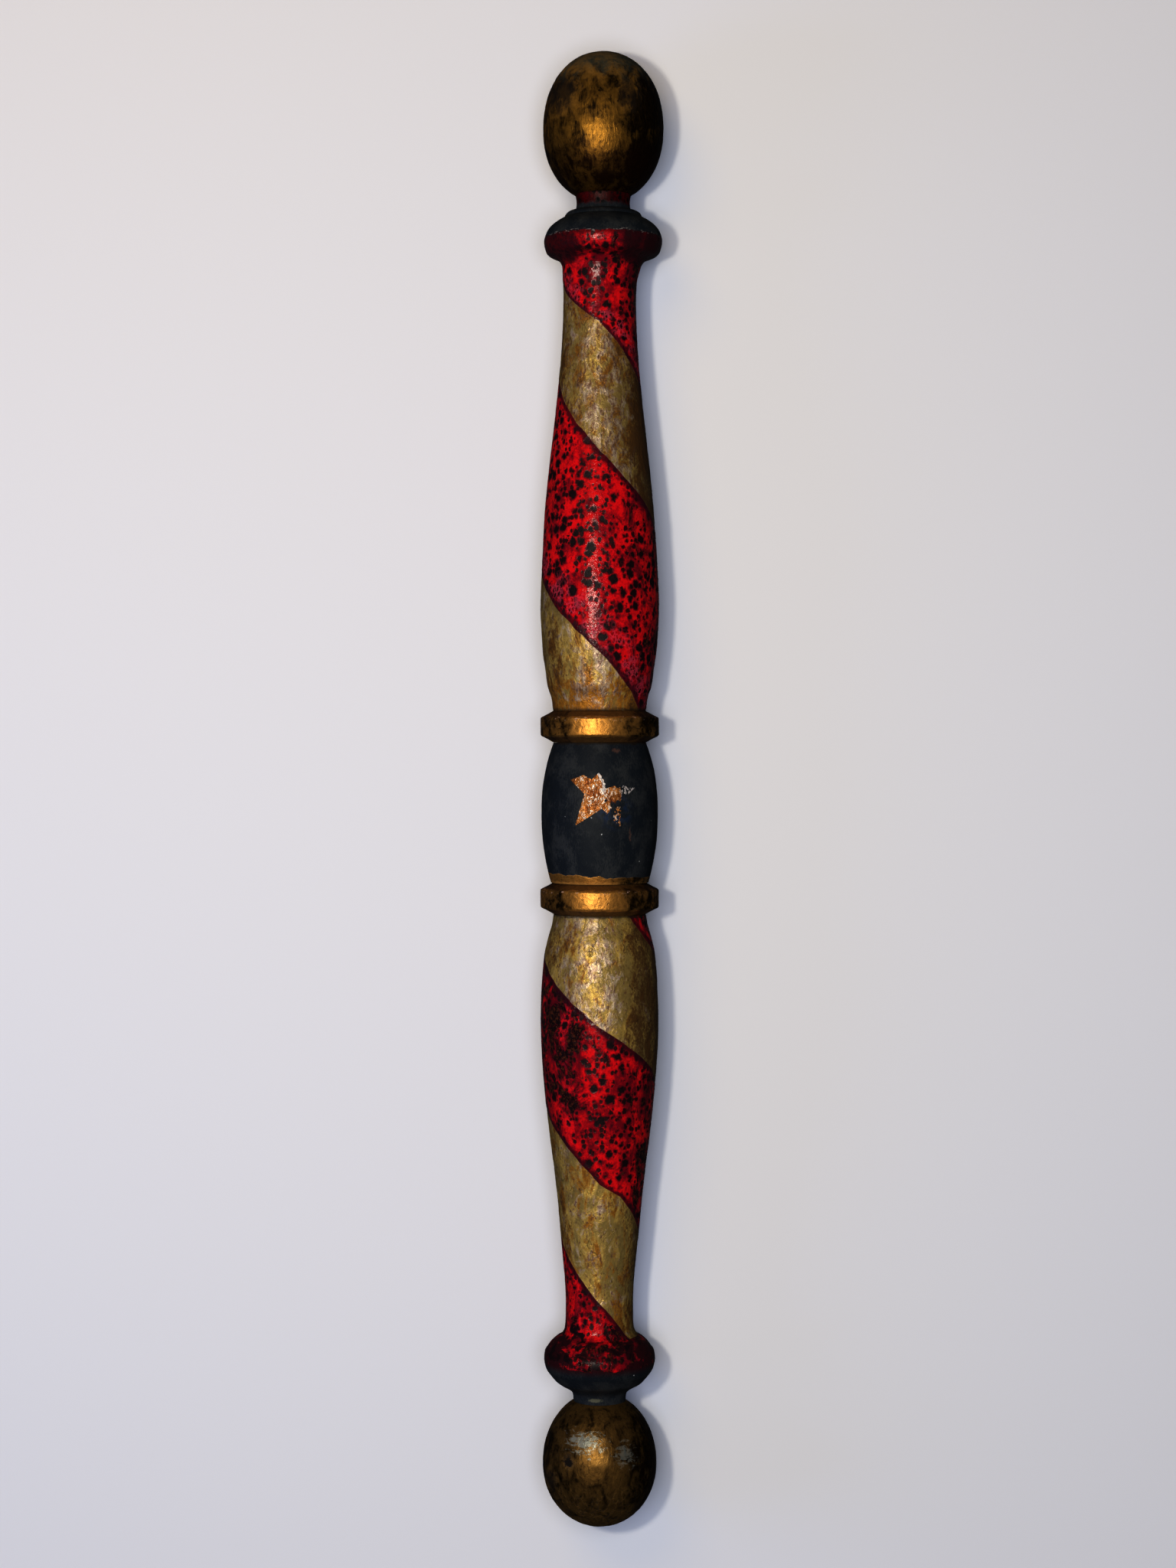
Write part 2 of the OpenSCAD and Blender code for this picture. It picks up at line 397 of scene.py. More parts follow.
def overlaid_to(g, layer, factor, colour, roughness=0.5, metal=0.2, depth=0.12):
    """A layer worn down to another colour where factor is 1. The round ball also uses it to paint a
    highlight.
    """
    return Layer(g.mix(factor, layer.colour, colour), g.mix(factor, layer.roughness, roughness),
                 layer.height - depth * factor, layer.fine, g.mix(factor, layer.metal, metal))


def red_paint(g, spot, blotch, lace=0.0):
    """Red lacquer crawled into islands over black: spot is how large the round gaps are, blotch how much of
    the surface is dark in ragged patches, where the red is lost and where shade is painted, and lace where
    the film has shrunk to threads, whose pink is partly a painted glint."""
    crowd = g.noise(13, seed=3)
    large, chance = g.cells((4.4, 4.0, 4.0), warp=0.5, seed=1)
    small, luck = g.cells((2.4, 2.0, 2.0), warp=0.5, seed=2)
    frayed = (g.noise(1.1, detail=2, roughness=0.6, seed=8) - 0.5) * 0.24
    gap = large + frayed - (0.45 + 0.55 * chance) * crowd.step(0.18, 0.52) * spot
    dot = small + frayed - (luck * 0.54 - 0.02)
    spots = gap.step(0.06, -0.08).most(dot.step(0.10, -0.08) * 0.92)
    halo = gap.step(0.24, 0.0).most(dot.step(0.24, 0.0) * 0.8)
    ragged = g.noise((10, 7, 7), detail=5, roughness=0.68, distortion=0.7, seed=4) + blotch
    bare = ragged.step(0.68, 0.75)
    cloud = g.noise((14, 9, 9), detail=4, roughness=0.6, distortion=0.4, seed=5)
    mottle = g.noise(1.3, detail=4, roughness=0.72, seed=6)
    colour = g.mix((mottle * 0.75 + cloud * 0.45).step(0.52, 0.74), RED, DEEP_RED)
    colour = g.mix((cloud + blotch * 0.6).step(0.52, 0.72) * 0.75, colour, MAROON)
    colour = g.mix((halo * 0.8).most(ragged.step(0.56, 0.72) * 0.9), colour, MAROON)
    colour = g.mix(spots, colour, SPOT_BLACK)
    colour = g.mix(bare, colour, g.mix(mottle.step(0.48, 0.62), SPOT_BLACK, BURNT))
    # The pink of the threads is partly a painted glint.
    threads, _ = g.cells((2.2, 1.5, 1.5), warp=1.0, seed=9, feature="DISTANCE_TO_EDGE")
    colour = g.mix(lace, colour, g.mix(threads.step(0.22, 0.04), SPOT_BLACK, LACE_PINK))
    film = (1 - spots) * (1 - bare)
    lumps = g.noise(2.0, detail=2, seed=7)
    pimples = g.noise(0.8, detail=2, roughness=0.6, seed=10)
    fine = 0.10 * pimples + 0.02 * film + 0.04 * lace * threads.step(0.25, 0.0)
    roughness = 0.14 + 0.10 * mottle + 0.30 * spots
    height = 0.05 * film + 0.12 * (lumps - 0.5)
    return Layer(colour, roughness, height, fine, 0.0)


def gold_paint(g, brown_and_shade, silver_highlight, orange, cracked):
    """Aged gold on gesso. The others say how much of each there is, about 0 for some. Its browning is
    partly painted shade, and its silvery patches are mostly a painted highlight.
    """
    zone = g.noise((20, 10, 10), detail=3, roughness=0.6, distortion=0.5, seed=11)
    patch = g.noise((6, 4.5, 4.5), detail=5, roughness=0.68, distortion=0.6, seed=12)
    stain = g.noise((10, 5, 5), detail=5, roughness=0.66, distortion=0.7, seed=18)
    streak = g.noise((4, 1.2, 1.2), detail=3, roughness=0.6, distortion=0.6, seed=13)
    grain = g.noise((1.1, 0.9, 0.9), detail=4, roughness=0.72, seed=14)
    crinkle = g.noise((2.6, 1.8, 1.8), detail=3, roughness=0.62, distortion=1.0, seed=15)
    colour = g.mix((zone * 0.7 + patch * 0.4).step(0.46, 0.62), GOLD_OLIVE, GOLD_YELLOW)
    colour = g.mix((zone * 0.3 + stain * 0.7 + orange).step(0.50, 0.62), colour, GOLD_ORANGE)
    # Mostly a painted highlight: the silvery and mauve patches.
    colour = g.mix((patch * 0.9 + grain * 0.3 + silver_highlight).step(0.60, 0.78) * 0.85, colour, GOLD_SILVER)
    mauve = (streak * 0.5 + patch * 0.3 + grain * 0.4 + silver_highlight * 0.5).step(0.62, 0.72)
    colour = g.mix(mauve * 0.6, colour, GOLD_MAUVE)
    colour = g.shade(colour, 0.28 + 0.75 * crinkle + 0.45 * grain)
    # Partly painted shade: the browning.
    browned_and_shaded = (stain * 0.5 + zone * 0.3 + grain * 0.4 + brown_and_shade).step(0.56, 0.80)
    colour = g.mix(browned_and_shaded * 0.95, colour, GOLD_BROWN)
    colour = g.mix((streak * 0.7 + grain * 0.4 + brown_and_shade * 0.4).step(0.61, 0.71) * 0.6, colour, GOLD_BROWN)
    colour = g.mix((grain * 0.8 + patch * 0.35).step(0.68, 0.75) * 0.6, colour, GROUND_RED)
    edge, _ = g.cells((9, 3.2, 3.2), warp=0.45, seed=16, feature="DISTANCE_TO_EDGE")
    split = edge.step(0.035, 0.0) * (g.noise((6, 4, 4), detail=3, seed=17) + cracked).step(0.55, 0.66)
    colour = g.mix(split * 0.55, colour, CRACK)
    height = 0.14 * (crinkle - 0.5) + 0.06 * patch.step(0.46, 0.56) - 0.10 * split
    fine = 0.20 * crinkle + 0.05 * grain + 0.04 * streak - 0.06 * split
    return Layer(colour, 0.30 + 0.22 * grain, height, fine, 0.40 + 0.30 * patch)


def dark_gold(g, shine, dark, streaks=(5, 1.3), seed=22):
    """Browned gold leaf. dark is how much more of it goes to tarnish and soot, about 0 for some; the
    callers raise it where they paint shade. streaks is how long its brush marks are along the club and
    round it."""
    along, around = streaks
    zone = g.noise((8, 6, 6), detail=4, roughness=0.6, distortion=0.6, seed=seed - 1)
    streak = g.noise((along, around, around), detail=3, roughness=0.6, distortion=0.8, seed=seed)
    speck = g.noise((1.5, 1.1, 1.1), detail=3, roughness=0.65, seed=seed + 1)
    colour = g.shade(shine, 0.10 + 1.2 * streak + 0.6 * speck)
    # Where dark is raised, these two mixes paint shade as tarnish and soot.
    colour = g.mix((zone * 0.75 + streak * 0.35 + dark).step(0.48, 0.76), colour, TARNISH)
    colour = g.mix((streak * 0.6 + speck * 0.5 + dark * 0.5).step(0.60, 0.74) * 0.7, colour, SOOT)
    height = 0.16 * (zone - 0.5) + 0.10 * (streak - 0.5)
    return Layer(colour, 0.36 + 0.20 * speck, height, 0.05 * speck + 0.12 * streak, 0.90)


def black_paint(g):
    """Scuffed blue-black paint with a few pale nicks."""
    cloud = g.noise((10, 8, 8), detail=4, roughness=0.6, seed=31)
    grain = g.noise((1.4, 0.5, 0.5), detail=3, roughness=0.7, seed=32)
    dot, luck = g.cells(6, warp=0.2, seed=33)
    colour = g.mix((cloud * 0.6 + grain * 0.4).step(0.44, 0.60), BLACK, BLACK_SCUFF)
    colour = g.mix((cloud * 0.4 + grain * 0.7).step(0.66, 0.78) * 0.5, colour, BLACK_RUBBED)
    colour = g.mix(dot.step(0.06, 0.03) * luck.step(0.5, 0.6), colour, CHALK)
    return Layer(colour, 0.46 + 0.2 * grain, 0.12 * (cloud - 0.5), 0.04 * grain, 0.0)


# ---------------------------------------------------------------- finishes: what each piece wears

# The spiral stripe's two edges on each shaft: stations (s, turns round the club from its top). A measuring
# script read most of them off the photo. They are fixed places in mm, as those of the single marks below
# are, so they stay put if a section's length changes.
UPPER_GOLD_FROM = ((337, 0.77), (425.4, 0.129), (443, 0.0), (458.4, -0.11), (530, -0.63))
UPPER_GOLD_TO = ((337, 1.16), (360.5, 1.0), (387.8, 0.813), (485.5, 0.101), (496.3, 0.0), (502.5, -0.093),
                 (508.6, -0.175), (522, -0.33))
LOWER_GOLD_FROM = ((79, 0.14), (88.6, 0.058), (93.8, 0.0), (111.6, -0.158), (191.4, -0.836), (208.2, -1.0),
                   (228.2, -1.16), (254, -1.39))
LOWER_GOLD_TO = ((70, 0.66), (138.3, 0.078), (143.6, 0.0), (163.2, -0.149), (240.8, -0.81), (254, -0.90))
GIRTH = 140.0  # about once round a shaft, in mm
SLANT = 0.7    # distance straight across the stripe for each mm round the club
STAR_DOWN = 0.6  # how far the painted star's middle lies below its node's, in mm


def striped(g, gold_from, gold_to, red, gold, lace=0.0):
    """Red with a spiral stripe of gold, and a dark margin in the red along both of its edges."""
    wobble = (g.noise(8, detail=2, seed=41) - 0.5) * (2.2 / GIRTH)
    start = g.curve(gold_from)
    width = g.curve(gold_to) - start
    t = g.math("FRACT", g.turn - start + wobble)
    on_gold = (t * GIRTH).step(0.0, 0.5) * ((width - t) * GIRTH).step(0.0, 0.5)
    from_start = (1 - t) * (GIRTH * SLANT)
    from_end = (t - width) * (GIRTH * SLANT)
    ragged = (g.noise(2.6, detail=3, roughness=0.6, seed=42) - 0.5) * 4.5
    margin = (from_start.least(from_end) + ragged).step(3.4, 1.0)
    threads = lace * from_end.step(15, 7) * (g.noise(6, detail=2, seed=43)).step(0.42, 0.58)
    layer = red(g, threads)
    edged = g.mix(margin * 0.9, layer.colour, STRIPE_MARGIN)
    layer = layer._replace(colour=edged, height=layer.height + 0.10)
    return paint_over(g, on_gold, layer, gold)


def grimy(g, layer, node, ends=(1, 1), reach=2.0, strength=0.85):
    """A layer with dirt in the grooves at a node's two ends, as much at each as ends says."""
    low, high = span(node)
    ragged = (g.noise((1.5, 3, 3), detail=3, seed=51) - 0.5) * 2.2
    dirt = (((g.s - low + ragged).step(reach, 0.2) * ends[0])
            .most((high - g.s + ragged).step(reach, 0.2) * ends[1])) * strength
    return overlaid_to(g, layer, dirt, GRIME, roughness=0.6, metal=0.1, depth=0)


def painted_shade_right(g):
    """1 on the right of the upper side, which is painted in shade, fading raggedly to 0."""
    ragged = (g.noise((12, 6, 6), detail=3, roughness=0.6, seed=47) - 0.5) * 18
    return (g.side + ragged).step(4, 19) * g.up.step(-6, 4)


def painted_shade_flanks(g, low, high):
    """1 beyond high mm to either side of the club's middle line, fading raggedly to 0 within low mm: the
    flanks, which are painted in shade.
    """
    ragged = (g.noise((9, 5, 5), detail=3, roughness=0.6, seed=64) - 0.5) * 10
    return (g.math("ABSOLUTE", g.side) + ragged).step(low, high)


def middle(g, left, right):
    """1 from left to right, mm to the side of the middle line, fading raggedly to 0 beyond: where a
    highlight is painted on the gold.
    """
    side = g.side + (g.noise((8, 5, 5), detail=3, roughness=0.6, seed=46) - 0.5) * 22
    fade = 12
    return side.step(left - fade, left) * side.step(right + fade, right)


def upper_red(g, lace=0.0):
    spot = g.curve(((350, 0.56), (400, 0.54), (430, 0.44), (470, 0.38), (500, 0.40), (530, 0.40)))
    # Painted shade: more dark blotches on the right.
    blotch = 0.02 + 0.10 * painted_shade_right(g) + 0.07 * g.s.step(490, 505)
    return red_paint(g, spot, blotch, lace)


def lower_red(g, lace=0.0):
    lost = g.side.step(0, -11) * g.up.step(-6, 4) * g.s.step(155, 180) * g.s.step(250, 232)
    # Painted shade: more dark blotches on the right.
    blotch = 0.07 + 0.12 * lost + 0.07 * painted_shade_right(g) + 0.06 * g.s.step(105, 85)
    return red_paint(g, 0.42, blotch, lace)


def upper_shaft(g):
    # Painted shade: more orange and browning on the right, and browning on the flanks. Painted highlight:
    # silvery patches along the middle.
    orange = 0.14 * g.s.step(356, 342) + 0.06 * g.s.step(425, 445) + 0.06 * painted_shade_right(g) - 0.02
    silver_highlight = 0.09 * middle(g, -4, 6) + 0.03 * g.s.step(345, 358) - 0.05
    brown_and_shade = 0.13 * painted_shade_right(g) + 0.06 * painted_shade_flanks(g, 9, 20) + 0.07 * g.s.step(425, 445) - 0.01
    gold = gold_paint(g, brown_and_shade, silver_highlight, orange, -0.02)
    layer = striped(g, UPPER_GOLD_FROM, UPPER_GOLD_TO, upper_red, gold, lace=0.5)
    return grimy(g, layer, "upper_shaft", ends=(1, 0))


def lower_shaft(g):
    upper_part = g.s.step(170, 210)
    # Painted highlight: silvery patches along the middle, more of them towards the upper end. Painted
    # shade: browning on the right and on the flanks.
    silver_highlight = (0.03 + 0.08 * upper_part) * middle(g, -10, 2) - 0.05
    brown_and_shade = 0.11 * painted_shade_right(g) + 0.06 * painted_shade_flanks(g, 8, 18) - 0.01
    gold = gold_paint(g, brown_and_shade, silver_highlight, 0.02 - 0.04 * upper_part, 0.02)
    layer = striped(g, LOWER_GOLD_FROM, LOWER_GOLD_TO, footed_red, gold)
    return grimy(g, layer, "lower_shaft", ends=(0, 1), reach=1.6)


def ring(node, seed):
    """The finish of one ring: gilt, with dirt in both grooves and chips along its upper edge."""
    def finish(g):
        low, high = span(node)
        bevel = (high - low) * 0.2
        # Painted shade: darker on the flanks, and a little more on the right.
        dark = 0.22 * painted_shade_flanks(g, 5, 18) + 0.06 * painted_shade_right(g) - 0.14
        layer = dark_gold(g, GOLD_SHINE, dark, (2.0, 2.2), seed)
        ragged = (g.noise((1.2, 3, 3), detail=3, seed=51) - 0.5) * 2.0
        dirt = (g.s - low + ragged).step(bevel + 0.3, bevel - 0.6)
        dirt = dirt.most((high - g.s + ragged).step(bevel + 0.5, bevel - 0.6)) * 0.85
        layer = overlaid_to(g, layer, dirt, RING_GRIME, roughness=0.55, metal=0.4, depth=0.1)
        rubbed = (high - g.s).step(bevel + 2.4, bevel + 0.4) * (high - g.s).step(bevel - 0.6, bevel)
        chip = rubbed * g.noise((1.0, 2.2, 2.2), detail=4, roughness=0.7, seed=seed + 2).step(0.58, 0.66)
        return overlaid_to(g, layer, chip * 0.8, RING_GROUND, roughness=0.4, metal=0.3, depth=0.12)
    return finish


def barrel(g):
    low, high = span("barrel")
    black = black_paint(g)
    ragged = (g.noise((30, 5, 5), detail=3, seed=53) - 0.5) * 3.0
    foot = (g.s - low + ragged + 0.04 * g.side).step(3.3, 3.0)
    # Painted shade: the gilt foot band darkens towards the right.
    gold = dark_gold(g, GOLD_SHINE, 0.20 * g.side.step(2, 12) - 0.08, (1.2, 2.5), seed=44)
    layer = paint_over(g, foot, black, gold)
    clouded = g.noise(3, detail=3, seed=54).step(0.40, 0.60)
    blue = g.near((low + high) / 2 + 1, 6, 7).step(1.3, 0.2) * clouded
    layer = overlaid_to(g, layer, blue * 0.7, BLUE_TINT, metal=0.0, depth=0.05)
    scrape = g.noise((1.5, 0.9, 0.9), detail=4, roughness=0.75, seed=60) - 0.5
    rust = (g.near(high - 3.3, 6.8, 2.4, 0.5) + 3 * scrape).step(1.0, 0.2)
    rust = rust.most((g.near(low + 20, 12.3, 0.6, 5.0) + 3 * scrape).step(1.0, 0.2))
    layer = overlaid_to(g, layer, rust * 0.7, RUST, metal=0.0, depth=0.04)
    return grimy(g, layer, "barrel", ends=(0.6, 1), reach=1.2, strength=0.8)


def collar(g):
    low, high = span("upper_collar")
    ragged = (g.noise((6, 5, 5), detail=3, seed=55) - 0.5) * 2.0
    past = g.s - (low + (high - low) * 0.58) + ragged
    red = upper_red(g)
    # Painted shade: the red goes dark on the flanks up near the black, and in a band just under the black.
    dark = (past.step(-17, -9) * painted_shade_flanks(g, 6, 12)).most(past.step(-3.0, -0.5) * 0.8)
    red = red._replace(colour=g.mix(dark * 0.92, red.colour, COLLAR_SHADE))
    layer = paint_over(g, past.step(-0.3, 0.3), red, black_paint(g))
    patchy = g.noise((0.6, 1.8, 1.8), detail=4, seed=56).step(0.56, 0.64)
    worn = past.step(-0.8, -0.2) * past.step(1.0, 0.3) * patchy
    return overlaid_to(g, layer, worn * 0.7, COLLAR_WORN, metal=0.0, depth=0.1)


def footed_red(g, lace=0.0):
    """The lower red, which breaks up into blots towards the bead and stops half way down it."""
    low, high = span("lower_bead")
    patch = g.noise((5, 6, 6), detail=4, roughness=0.6, distortion=0.8, seed=57)
    rise = (g.s - low).step((high - low) * 0.12, (high - low) * 0.38)
    clear = (g.s - high).step(0, 12)
    # Painted shade: less red is kept on the bead's flanks, so its black shows there.
    lost = painted_shade_flanks(g, 8, 17) * (1 - clear) * 0.10
    kept = (patch + (rise - 1) * 0.6 + clear * 0.2 - lost).step(0.42, 0.48)
    black = black_paint(g)
    stained = g.mix(rise, black.colour, g.mix(patch.step(0.34, 0.44), SPOT_BLACK, RED_STAIN))
    black = black._replace(colour=stained, roughness=black.roughness - 0.2)
    return paint_over(g, kept, black, lower_red(g, lace))


def upper_neck(g):
    low = span("upper_neck")[0]
    red = red_paint(g, 0.3, 0.05)
    red = red._replace(colour=g.shade(red.colour, 0.09), roughness=red.roughness + 0.3,
                       height=0.5 * red.height)
    blackened = (g.s - low + 3 * g.noise(3, seed=58)).step(4.4, 2.6)
    return paint_over(g, blackened, red, black_paint(g))


def lower_neck(g):
    low = span("lower_neck")[0]
    chip = (g.near(low + 2.0, -2, 4.0, 0.25) + 1.2 * g.noise(1.2, detail=3, seed=59)).step(1.6, 1.1)
    return overlaid_to(g, black_paint(g), chip * 0.6, NECK_CHIP, metal=0.0, depth=0.1)


def oval_ball(g):
    tip = span("oval_ball")[1]
    foot = (tip - g.s).step(36, 50)
    # Painted shade on the right and on the flanks; the ball also darkens towards its foot.
    dark = 0.13 * g.side.step(4, 18) + 0.08 * foot + 0.08 * painted_shade_flanks(g, 10, 22) + 0.02
    layer = dark_gold(g, OVAL_SHINE, dark)
    blotch = g.noise((7, 4, 4), detail=5, roughness=0.68, distortion=0.6, seed=61)
    smoke = (g.near(tip - 19.5, -16, 6, 1.3) + 2.4 * (blotch - 0.5)).step(1.7, 0.6)
    smoke = smoke.most((g.near(tip - 21, 12, 5, 1.7) + 2.6 * (blotch - 0.5)).step(1.4, 0.4) * 0.85)
    smoke = smoke.most((g.near(tip - 11, 1, 3, 2.2) + 2.6 * (blotch - 0.5)).step(1.3, 0.3) * 0.6)
    layer = overlaid_to(g, layer, smoke * 0.94, SOOT)
    crown = (tip - g.s + 16 * (blotch - 0.5)).step(17, 5) * 0.8
    layer = overlaid_to(g, layer, crown, CROWN_GREEN, metal=0.1)
    return layer._replace(colour=g.mix(foot * 0.5, layer.colour, FOOT_RED))


def round_ball(g):
    low = span("round_ball")[0]
    # Painted shade on the right and on the flanks.
    dark = 0.12 * g.side.step(6, 20) + 0.08 * painted_shade_flanks(g, 10, 24) + 0.02
    layer = dark_gold(g, ROUND_SHINE, dark, (3, 1.6), seed=24)
    # A painted highlight near the middle of the upper side.
    painted_highlight = g.near(low + 32, 1, 4.5, 0.8).step(1.2, 0.2)
    layer = layer._replace(colour=g.mix(painted_highlight * 0.6, layer.colour, BALL_HIGHLIGHT))
    blotch = g.noise((1.7, 3.4, 3.4), detail=4, roughness=0.66, distortion=0.9, seed=62)
    # Silvery streaks either side of the middle, painted as highlights.
    silver_highlight = (g.near(low + 38.5, -6.5, 7, 0.6) + 5 * (blotch - 0.5)).step(1.1, 0.3)
    silver_highlight = silver_highlight.most((g.near(low + 34, 10, 4.5, 1.0) + 5 * (blotch - 0.5)).step(1.0, 0.3) * 0.7)
    layer = overlaid_to(g, layer, silver_highlight * 0.8, BALL_SILVER, roughness=0.36, metal=0.5, depth=0.05)
    scar = (g.near(low + 31, -12.7, 2.4, 1.5) + 1.6 * (blotch - 0.5)).step(1.2, 0.5)
    scar = scar.most((g.near(low + 22, -20, 3, 1.8) + 1.6 * (blotch - 0.5)).step(1.2, 0.4) * 0.8)
    layer = overlaid_to(g, layer, scar, SOOT)
    edge, _ = g.cells((9, 3.4, 3.4), warp=0.8, seed=63, feature="DISTANCE_TO_EDGE")
    split = edge.step(0.10, 0.02) * (g.s - low).step(22, 14) * blotch.step(0.40, 0.54)
    return overlaid_to(g, layer, split * 0.9, SOOT, depth=0.2)


def leaf(g):
    fold = g.noise((1.9, 1.2, 1.2), detail=3, roughness=0.62, distortion=1.4, seed=71)
    tone = g.noise((5, 3, 3), detail=3, roughness=0.6, seed=72)
    colour = g.mix((fold * 0.6 + tone * 0.5).step(0.44, 0.66), LEAF_DARK, LEAF_GOLD)
    middle_s = sum(span("star")) / 2 - STAR_DOWN
    # A painted highlight near the star's middle, and painted glints on the crests of the folds.
    painted_highlight = g.near(middle_s + 2, -1, 7).step(1.2, 0.2)
    colour = g.mix((fold * 0.8 + tone * 0.3 + painted_highlight * 0.05).step(0.60, 0.67), colour, LEAF_GLINT)
    edge = g.curve(((middle_s + 1, 2.0), (middle_s + 7, 1.7), (middle_s + 11, -0.5)))
    rim = g.math("ABSOLUTE", g.side - edge).step(0.9, 0.4) * (g.s - middle_s).step(2, 5)
    colour = g.mix(rim.most(g.side.step(8.5, 9.0)) * 0.8, colour, LEAF_EDGE)
    return Layer(colour, 0.28 + 0.2 * tone, 0.0, 0.40 * fold, 0.65)


def bare_wood(g):
    grain = g.noise((40, 0.8, 0.8), detail=3, roughness=0.6, seed=81)
    colour = g.mix(grain.step(0.35, 0.65), WOOD_PALE, WOOD_DARK)
    return Layer(colour, 0.6 + 0.1 * grain, 0.0, 0.03 * grain, 0.0)


GLOSS = 0.30
RELIEF_IN_BUMP = 0.5


def material(name, finish):
    """A material that shows a finish: one shader, with the fine bump in its normal."""
    mat = bpy.data.materials.new(name)
    mat.use_nodes = True
    tree = mat.node_tree
    tree.nodes.clear()
    g = Graph(tree)
    layer = finish(g)
    shader = g.node("ShaderNodeBsdfPrincipled")
    shader.inputs["Specular IOR Level"].default_value = GLOSS
    g.feed(shader.inputs["Base Color"], layer.colour)
    g.feed(shader.inputs["Roughness"], layer.roughness)
    g.feed(shader.inputs["Metallic"], layer.metal)
    bump = g.node("ShaderNodeBump")
    bump.inputs["Strength"].default_value = 1
    bump.inputs["Distance"].default_value = MM
    g.feed(bump.inputs["Height"], layer.fine + layer.height * RELIEF_IN_BUMP)
    g.feed(shader.inputs["Normal"], bump.outputs[0])
    out = g.node("ShaderNodeOutputMaterial")
    g.feed(out.inputs["Surface"], shader.outputs[0])
    return mat


LEAN = 1.5  # how far the upper end leans to the side, in mm
SWAY = 0.5  # how far the turning is out of round, in mm


def carve(piece, finish):
    """Gives a piece its finish's relief, the small errors of hand turning, and the upper end's lean."""
    tree = bpy.data.node_groups.new(piece.name + "_relief", "GeometryNodeTree")
    tree.interface.new_socket("Geometry", in_out="INPUT", socket_type="NodeSocketGeometry")
    tree.interface.new_socket("Geometry", in_out="OUTPUT", socket_type="NodeSocketGeometry")
    g = Graph(tree)
    relief, outside = (g.attribute(key) for key in ("relief", "outside"))
    sway = (g.noise((45, 30, 30), detail=1, seed=91) - 0.5) * SWAY
    dents = (g.noise((7, 5, 5), detail=2, seed=92) - 0.5) * 0.25
    lift = (finish(g).height + dents) * relief + sway * outside
    lean = g.curve(((505, 0), (515, 0.1), (526, 0.9), (534, 1))) * outside * LEAN
    push = g.vector("SCALE", g.node("GeometryNodeInputNormal").outputs[0], lift * MM)
    aside = g.vector("SCALE", (0, -MM, 0), lean)
    move = g.node("GeometryNodeSetPosition")
    given, carved = g.node("NodeGroupInput"), g.node("NodeGroupOutput")
    g.feed(move.inputs["Geometry"], given.outputs[0])
    g.feed(move.inputs["Offset"], g.vector("ADD", push, aside))
    g.feed(carved.inputs[0], move.outputs[0])
    piece.modifiers.new("relief", "NODES").node_group = tree
    bpy.context.view_layer.update()
    mesh = bpy.data.meshes.new_from_object(piece.evaluated_get(bpy.context.evaluated_depsgraph_get()))
    piece.modifiers.clear()
    piece.data = mesh


def finish_piece(piece, finish):
    piece.data.materials.clear()
    piece.data.materials.append(material(piece.name, finish))
    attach(piece, "root")


SECTIONS = (
    # node, finish, slot, has corners, goes on seamlessly into its neighbours
    ("round_ball", round_ball, "antique_gold", False, (False, False)),
    ("lower_neck", lower_neck, "black_paint", False, (False, True)),
    ("lower_bead", footed_red, "black_paint", False, (True, True)),
    ("lower_shaft", lower_shaft, "striped_paint", False, (True, False)),
    ("lower_ring", ring("lower_ring", 45), "antique_gold", True, (False, False)),
    ("barrel", barrel, "black_paint", False, (False, False)),
    ("upper_ring", ring("upper_ring", 48), "antique_gold", True, (False, False)),
    ("upper_shaft", upper_shaft, "striped_paint", False, (False, True)),
    ("upper_collar", collar, "red_paint", False, (True, False)),
    ("neck_step", black_paint, "black_paint", False, (False, False)),
    ("upper_neck", upper_neck, "red_paint", False, (False, False)),
    ("oval_ball", oval_ball, "antique_gold", False, (False, False)),
)
for node, finish, slot, cornered, seamless in SECTIONS:
    piece = turned(node, cornered, seamless)
    carve(piece, finish)
    finish_piece(piece, finish)

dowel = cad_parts["core_dowel"].data
dowel.materials.clear()
dowel.materials.append(material("bare_wood", bare_wood))


# ---------------------------------------------------------------- the star, half worn away

# Hand-painted, so no two arms are alike: tips and inner corners, mm to the right of its middle and above it
STAR = ((-12.0, 8.4), (-6.8, 10.5), (-3.2, 8.6), (-0.6, 11.2), (1.4, 11.0), (5.5, 7.0),
        (14.2, 5.2), (8.6, -0.3), (8.4, -10.6), (0.9, -3.1), (-10.0, -10.1), (-6.3, 2.8))
STAR_REACH = max(abs(place) for point in STAR for place in point)
CELL = 0.24
LEAF_UP = 0.16
LEAF_CRINKLE = 0.10
LEAF_ROOT = -0.35


def in_star(u, v):
    """Whether a place is inside the star: u mm to the right of its middle and v mm above it."""
    crossings = 0
    for (u0, v0), (u1, v1) in zip(STAR, STAR[1:] + STAR[:1]):
        if (v0 > v) != (v1 > v) and u < u0 + (u1 - u0) * (v - v0) / (v1 - v0):
            crossings += 1
    return crossings % 2 == 1


def leaf_left(u, v):
    """Whether the leaf is still there: whole on the left, a lobe in the middle, flecks on the right."""
    rough = noise.fractal((u * 0.9, v * 0.9, 4.0), 0.9, 2.1, 3) * 0.9

    def within(middle_u, middle_v, half_u, half_v):
        return math.hypot((u - middle_u) / half_u, (v - middle_v) / half_v) + 0.35 * rough < 1

    if u + 0.6 * rough < 2.2 - max(0, v - 7) * 0.55:
        return True
    if within(5.3, 2.6, 3.7, 3.2) or within(3.2, -2.5, 1.3, 2.5):
        return True
    fleck = noise.fractal((u * 1.3, v * 1.0, 9.0), 0.9, 2.1, 2)
    return fleck > 0 and (within(11.8, 4.8, 2.8, 2.6) or within(7.4, -7.0, 1.8, 4.4))


